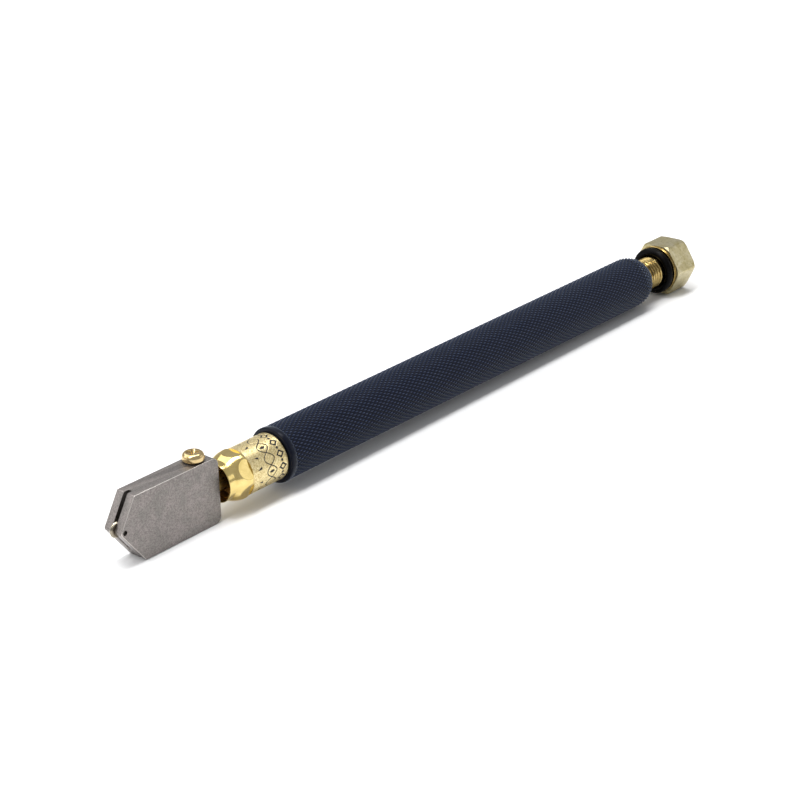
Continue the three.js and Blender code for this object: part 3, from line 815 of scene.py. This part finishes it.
def spring_retainer():
    """A plug with an oil hole and a screwdriver slot."""
    front, rear = extent("spring_retainer", 0)
    radius, hole = 3.55, 1.2
    slot_depth, slot_width = 0.7, 0.8
    profile = fillet([
        (front, hole, 0.1), (front, radius, 0.15), (rear, radius, 0.15), (rear, hole, 0.1),
    ], 4, loop=True)
    retainer = mesh_object("spring_retainer_visual", *spin(profile, 96, loop=True))
    cut_out(retainer, cuboid((2 * slot_depth, 12, slot_width), (rear, 0, 0)))
    bevel_edges(retainer, width=0.04, angle=50)
    place(retainer, "spring_retainer", "handle", "stem_brass", STEM_BRASS)


# ---------------------------------------------------------------- ferrule

def hexagon(angle):
    """How far a hexagon's sides are from its centre, with an apothem of 1 and a flat on top."""
    sector = (angle + math.pi / 6) % (math.pi / 3) - math.pi / 6
    return 1 / np.cos(sector)


def band(distance, half_width, soft=0.035):
    """1 inside a stroke and 0 outside it, with a soft edge."""
    return np.clip((half_width - distance) / soft + 0.5, 0, 1)


def ornament(x, angle):
    """A plain engraved ornament around the ferrule: 1 where it is cut and 0 where it isn't."""
    repeats = 6
    wave_x, lozenge_x, wedge_x = -5.0, -1.9, -8.1
    height, stroke = 1.3, 0.11
    around = (angle * repeats / TAU) % 1 - 0.5
    along = FERRULE_BODY * TAU / repeats * around
    swing = height * np.cos(TAU * around)
    slope = height * repeats / FERRULE_BODY * np.sin(TAU * around)
    reach = 1 / np.sqrt(1 + slope ** 2)
    fine = band(np.abs(x - wave_x - swing) * reach, stroke)
    fine = np.maximum(fine, band(np.abs(x - wave_x + swing) * reach, stroke))
    # A small solid leaf in each loop of the two waves.
    leaf = np.hypot((x - wave_x) / 1.9, along / 0.8)
    fine = np.maximum(fine, band((leaf - 0.34) * 0.8, 0.0, 0.05))
    # Open lozenges near the handle, with a dot between each pair.
    spacing = FERRULE_BODY * TAU / (2 * repeats)
    shifted = spacing * ((angle * 2 * repeats / TAU + 0.5) % 1 - 0.5)
    lozenge = np.abs(x - lozenge_x) / 1.15 + np.abs(shifted) / 0.95
    bold = band(np.abs(lozenge - 0.72) * 0.73, 0.17)
    between = spacing * ((angle * 2 * repeats / TAU) % 1 - 0.5)
    dot_radius = 0.3
    bold = np.maximum(bold, band(np.hypot(x - lozenge_x, between) - dot_radius, 0.0, 0.05))
    # Short wedges near the nose.
    half_wedge = 0.6
    wedge = np.maximum(
        np.abs(between) - (x - wedge_x + half_wedge) * 0.5,
        np.abs(x - wedge_x) - half_wedge,
    )
    bold = np.maximum(bold, band(wedge, 0.0, 0.05) * (np.cos(repeats * angle) > 0))
    return np.maximum(fine, bold)


def nose_arc(steps=16):
    """The rounded nose from the lip up to the ridge, as one arc that turns by NOSE_BEND."""
    along, rise = RIDGE_START - NOSE_START, FERRULE_RIDGE - FERRULE_LIP
    radius = math.hypot(along, rise) / (2 * math.sin(NOSE_BEND / 2))
    first = math.atan2(rise, along) + NOSE_BEND / 2
    slopes = [first - NOSE_BEND * k / steps for k in range(steps + 1)]
    return [(
        NOSE_START + radius * (math.sin(first) - math.sin(a)),
        FERRULE_LIP + radius * (math.cos(a) - math.cos(first)),
    ) for a in slopes]


def ferrule():
    """Nose with six milled flats, engraved body, spigot inside the handle, and the valve's bores."""
    mouth, guide, chamber, spigot = 4.05, 2.1, 3.6, 4.5
    guide_front, guide_rear = -11.9, -6.5
    lip = fillet([
        (FERRULE_FRONT, mouth, 0.05), (FERRULE_FRONT, FERRULE_LIP, 0.08), (NOSE_START, FERRULE_LIP),
    ], 4)
    ridge = fillet([
        (RIDGE_START, FERRULE_RIDGE), (-10.7, FERRULE_RIDGE, 0.3), (BODY_START, FERRULE_BODY, 0.4),
        (BODY_END, FERRULE_BODY, 0.06), (BODY_END, spigot, 0.0),
    ], 7)
    outside = lip[:-1] + nose_arc() + ridge[1:]
    # Two rows close together where the flats end, so that they end in a clean step.
    start = [i for i, p in enumerate(outside) if p[0] < FLAT_END][-1] + 1
    step = 0.02
    edge_radius = float(np.interp(FLAT_END, [p[0] for p in outside[:-2]], [p[1] for p in outside[:-2]]))
    nose = subdivide(outside[:start] + [(FLAT_END - step, edge_radius)], 0.13)
    body = subdivide([(FLAT_END, edge_radius)] + outside[start:], 0.072)
    inside = fillet([
        (BODY_END, spigot, 0.0), (FERRULE_REAR, spigot, 0.15), (FERRULE_REAR, chamber, 0.1),
        (guide_rear, chamber, 0.05), (guide_rear, guide, 0.05), (guide_front, guide, 0.1),
        (guide_front, mouth, 0.2), (FERRULE_FRONT, mouth, 0.0),
    ], 3)
    profile = nose + body + inside[1:-1]

    def on_body(x, radius):
        return (radius > FERRULE_BODY - 0.02) & (x > BODY_START + 0.3) & (x < BODY_END - 0.1)

    def relief(x, radius, angle):
        side = FLAT_APOTHEM * hexagon(angle) + 0 * x
        milled = (x < FLAT_END - 0.6 * step) & (radius > FLAT_APOTHEM - 0.6) & (x > -14.5)
        cut = np.where(milled, np.minimum(side - radius, 0), 0)
        return cut - ENGRAVING_DEPTH * ornament(x, angle) * on_body(x, radius)

    segments = 384
    verts, faces = spin(profile, segments, relief, loop=True)
    angle = np.arange(segments) * TAU / segments
    x = np.array([p[0] for p in profile])[:, None]
    radius = np.array([p[1] for p in profile])[:, None]
    ink = ornament(x, angle[None, :]) * on_body(x, radius)
    satin = np.clip((x - FLAT_END) / 0.15, 0, 1) * (radius > 4.6) + 0 * angle[None, :]
    # inner marks the bores' inside surfaces, which the material paints dark as shade.
    inner = np.zeros((len(profile), segments))
    spigot_rows = 2
    inner[len(nose + body) + spigot_rows:] = 1
    piece = mesh_object("ferrule_visual", verts, faces, {"ink": ink, "satin": satin, "inner": inner})
    place(piece, "ferrule", "handle", "ferrule_brass", FERRULE_BRASS, sharp=24)


def ferrule_gasket():
    front, rear = extent("ferrule_gasket", 0)
    inner, outer = 4.6, 5.2
    profile = fillet([
        (front, inner, 0.03), (front, outer, 0.08), (rear, outer, 0.08), (rear, inner, 0.03),
    ], 3, loop=True)
    gasket = mesh_object("ferrule_gasket_visual", *spin(profile, 160, loop=True))
    place(gasket, "ferrule_gasket", "handle", "seal_rubber", RUBBER)


# ---------------------------------------------------------------- handle

def groove_form(x, angle, crest=0.08):
    """Depth share of the spiral thread: 0 at the crest of the cap's thread and 1 at its root."""
    phase = ((x - THREAD_ORIGIN) / PITCH - angle / TAU + 0.5) % 1 - 0.5
    flank = THREAD_DEPTH * math.tan(math.pi / 6) / PITCH
    return np.clip((np.abs(phase) - crest) / flank, 0, 1)


def handle_tube():
    """Knurled tube with a rounded end, the ferrule's socket, the oil space and the cap's thread."""
    per_repeat = 4
    segments = KNURL_STARTS * per_repeat
    row = KNURL_REPEAT / per_repeat
    knurl_rows = int((HANDLE_LENGTH - HANDLE_END - SMOOTH_BAND) / row)
    fall = HANDLE_RADIUS - HANDLE_MOUTH
    end_rows = 16
    rows_per_turn = 10
    front = fillet([
        (0, SOCKET_RADIUS, 0.0), (0, HANDLE_RADIUS, 0.3), (SMOOTH_BAND - 0.35, HANDLE_RADIUS),
    ], 5)
    outside = front + [(SMOOTH_BAND + row * (i - 0.5), HANDLE_RADIUS) for i in range(knurl_rows + 1)]
    shoulder = HANDLE_LENGTH - HANDLE_END
    for i in range(end_rows + 1):
        a = i / end_rows * math.pi / 2
        outside.append((shoulder + HANDLE_END * math.sin(a), HANDLE_MOUTH + fall * math.cos(a)))
    thread_rows = int((HANDLE_LENGTH - THREAD_ORIGIN) / PITCH * rows_per_turn)
    threaded = THREAD_MAJOR + THREAD_PLAY
    inside = [(HANDLE_LENGTH - i * PITCH / rows_per_turn, threaded) for i in range(thread_rows + 1)]
    inside += [
        (RESERVOIR_END, RESERVOIR_RADIUS), (SOCKET_DEPTH, RESERVOIR_RADIUS),
        (SOCKET_DEPTH, SOCKET_RADIUS),
    ]
    profile = outside + inside
    end_stretch = 0.405 * HANDLE_END

    def knurl(x, angle):
        """0 at the crossing of two grooves and 1 on the peak of a diamond."""
        beyond = np.clip((x - shoulder) / HANDLE_END, 0, 0.999)
        bulge = 1 - np.sqrt(1 - beyond ** 2)
        length = x + end_stretch * bulge
        turns = KNURL_STARTS * angle / TAU
        steps = (length - SMOOTH_BAND) / KNURL_REPEAT
        one = 1 - np.abs(((turns + steps) % 1) * 2 - 1)
        other = 1 - np.abs(((turns - steps) % 1) * 2 - 1)
        return np.minimum(one, other)

    def knurled(x, radius):
        fade_in = np.clip((x - SMOOTH_BAND + 0.3) / 0.5, 0, 1)
        fade_out = np.clip((HANDLE_LENGTH - 0.25 - x) / 1.2, 0, 1)
        return fade_in * fade_out * (radius > HANDLE_MOUTH + 0.02)

    def relief(x, radius, angle):
        outer = -KNURL_DEPTH * (1 - knurl(x, angle)) * knurled(x, radius)
        lead_in = np.clip((HANDLE_LENGTH - x) / 0.5, 0, 1) * np.clip((x - THREAD_ORIGIN) / 0.6, 0, 1)
        inner = -THREAD_DEPTH * groove_form(x, angle, crest=0.13) * lead_in
        return np.where((radius < threaded + 0.01) & (x > THREAD_ORIGIN - 0.5), inner, outer)

    verts, faces = spin(profile, segments, relief, loop=True)
    x = np.array([p[0] for p in profile])[:, None]
    radius = np.array([p[1] for p in profile])[:, None]
    angle = (np.arange(segments) * TAU / segments)[None, :]
    share = knurled(x, radius)
    peak = knurl(x, angle) * share + (1 - share) * 0.6
    smooth = (1 - share) * (x < SMOOTH_BAND) + 0 * angle
    tube = mesh_object("handle_tube_visual", verts, faces, {"peak": peak, "smooth": smooth})
    place(tube, "handle_tube", "handle", "handle_paint", PAINT, sharp=22)


# ---------------------------------------------------------------- filler cap

def filler_cap():
    """Threaded stud, neck, washer face and hexagon, turned in one piece."""
    neck, shoulder, washer = 3.72, 133.03, 5.65
    thread_end = 130.9
    corner = CAP_FLAT / math.cos(math.pi / 6)
    slope = math.tan(math.pi / 6)
    front_bevel, rear_bevel, corner_round = 6.3, 6.25, 0.10
    lead = 0.5
    stud = subdivide([
        (CAP_FRONT, THREAD_MAJOR - lead), (CAP_FRONT + lead, THREAD_MAJOR), (thread_end, THREAD_MAJOR),
    ], 0.09)
    rest = fillet([
        (thread_end, THREAD_MAJOR, 0.0), (thread_end, neck, 0.0), (shoulder, neck, 0.1),
        (shoulder, washer, 0.08), (CAP_HEX_FRONT, washer, 0.05), (CAP_HEX_FRONT, front_bevel, 0.04),
        (CAP_HEX_FRONT + (corner - front_bevel) * slope, corner - corner_round, 0.1),
        (CAP_REAR - (corner - rear_bevel) * slope, corner - corner_round, 0.3),
        (CAP_REAR, rear_bevel, 0.12), (CAP_REAR, 0),
    ], 5)
    body = subdivide(rest[1:], 0.25)
    profile = [(CAP_FRONT, 0)] + stud + body

    def relief(x, radius, angle):
        threaded = (x < thread_end + 0.01) & (radius > 1)
        run_out = np.clip((thread_end - x) / 0.6, 0, 1)
        cut = -THREAD_DEPTH * groove_form(x, angle) * np.maximum(run_out, 0.15)
        cut = np.where(threaded, np.minimum(cut, 0), 0)
        in_hex = (x > CAP_HEX_FRONT - 0.01) & (radius > CAP_FLAT - 0.12)
        side = CAP_FLAT * hexagon(angle + CAP_ROLL)
        return cut + np.where(in_hex, np.minimum(side - radius, 0), 0)

    segments = 192
    verts, faces = spin(profile, segments, relief)
    x = np.array([p[0] for p in profile])[:, None]
    radius = np.array([p[1] for p in profile])[:, None]
    angle = (np.arange(segments) * TAU / segments)[None, :]
    drawn = (x > CAP_HEX_FRONT - 0.01) * (radius > washer + 0.1) + 0.0 * angle
    cap = mesh_object("filler_cap_visual", verts, faces, {"drawn": drawn})
    place(cap, "filler_cap", "cap", "cap_brass", CAP_BRASS, sharp=24)


# ---------------------------------------------------------------- build

cutting_head()
cutting_wheel()
wheel_axle()
clamp_screw()
stem()
rubber_ring(
    "stem_o_ring_visual", "stem_o_ring", "stem", STEM_RING_X, STEM_RING_RADIUS, STEM_RING_SECTION,
)
valve_seal()
oil_wick()
valve_spring()
spring_retainer()
ferrule()
ferrule_gasket()
handle_tube()
filler_cap()
rubber_ring(
    "cap_o_ring_visual", "cap_o_ring", "cap_ring", RING_X, RING_OUTER - RING_SECTION, RING_SECTION,
)


# ---------------------------------------------------------------- floor, light and camera

def floor():
    """A white table, tipped so that it touches the head's underside and the cap's lowest corner."""
    chamfer = 0.6
    head_contact = HEAD_REAR - BOTTOM_REAR[2]
    cap_contact = CAP_REAR - chamfer
    corner = -CAP_FLAT * (math.cos(CAP_ROLL) + math.sin(CAP_ROLL) * math.tan(math.pi / 6))
    rise = (corner - HEAD_BOTTOM) / (cap_contact - head_contact)
    half = 3.0 / MM
    corners = [(-half, -half), (half, -half), (half, half), (-half, half)]
    verts = [(x, y, HEAD_BOTTOM + (x - head_contact) * rise) for x, y in corners]
    plane = mesh_object("table_top", verts, [(0, 1, 2, 3)])
    plane.data.transform(Matrix.Translation(SEAT) @ Matrix.Scale(MM, 4))
    if plane.data.polygons[0].normal.z < 0:
        plane.data.flip_normals()
    f = Finish("table_white", Metallic=0.0, Roughness=0.55, IOR=1.4)
    grain = f.noise((0.08, 0.08, 0.08), 3.0)
    plane.data.materials.append(f.set(Base_Color=f.mix(grain, rgb(231, 231, 231), rgb(235, 235, 235))))


def softbox(name, position, size, power):
    """A rectangular light that faces the middle of the tool. Its position and size are in metres."""
    light = bpy.data.lights.new(name, "AREA")
    light.shape = "RECTANGLE"
    light.size, light.size_y = size
    light.energy = power
    obj = bpy.data.objects.new(name, light)
    obj.location = Vector(position)
    obj.rotation_euler = (-Vector(position)).to_track_quat("-Z", "Y").to_euler()
    bpy.context.scene.collection.objects.link(obj)


def studio():
    world = bpy.data.worlds.new("studio")
    world.use_nodes = True
    background = world.node_tree.nodes["Background"]
    background.inputs["Color"].default_value = (0.97, 0.98, 1.0, 1)
    background.inputs["Strength"].default_value = 0.50
    bpy.context.scene.world = world
    softbox("strip_near", (0.12, 0.0, 1.0), (0.24, 1.0), 6.0)
    softbox("strip_left", (-0.5, 0.0, 0.95), (0.24, 1.0), 6.5)
    softbox("back", (-0.15, 0.66, 1.0), (1.6, 1.0), 8.5)
    softbox("left_back", (-0.95, 0.8, 0.5), (0.9, 0.5), 2.2)
    softbox("right_front", (0.9, -0.75, 0.42), (0.9, 0.35), 0.75)


def camera():
    """Looks at a point on the tool from a distance. Both are in millimetres from the seat."""
    azimuth, elevation, roll = math.radians(-48.077), math.radians(24.164), math.radians(-1.526)
    distance = 489.8
    look_at = Vector((39.25, -0.06, -1.51))
    back = Vector((
        math.sin(azimuth) * math.cos(elevation),
        -math.cos(azimuth) * math.cos(elevation),
        math.sin(elevation),
    ))
    right = Vector((math.cos(azimuth), math.sin(azimuth), 0))
    up = back.cross(right)
    right, up = (
        right * math.cos(roll) + up * math.sin(roll),
        up * math.cos(roll) - right * math.sin(roll),
    )
    data = bpy.data.cameras.new("camera")
    data.sensor_width = 36.0
    data.lens = 102.83
    data.clip_start = 0.01
    obj = bpy.data.objects.new("camera", data)
    place_at = SEAT + (look_at + back * distance) * MM
    obj.matrix_world = Matrix.Translation(place_at) @ Matrix((right, up, back)).transposed().to_4x4()
    bpy.context.scene.collection.objects.link(obj)
    bpy.context.scene.camera = obj


floor()
studio()
camera()
bpy.context.scene.view_settings.view_transform = "Standard"
bpy.context.scene.view_settings.look = "None"
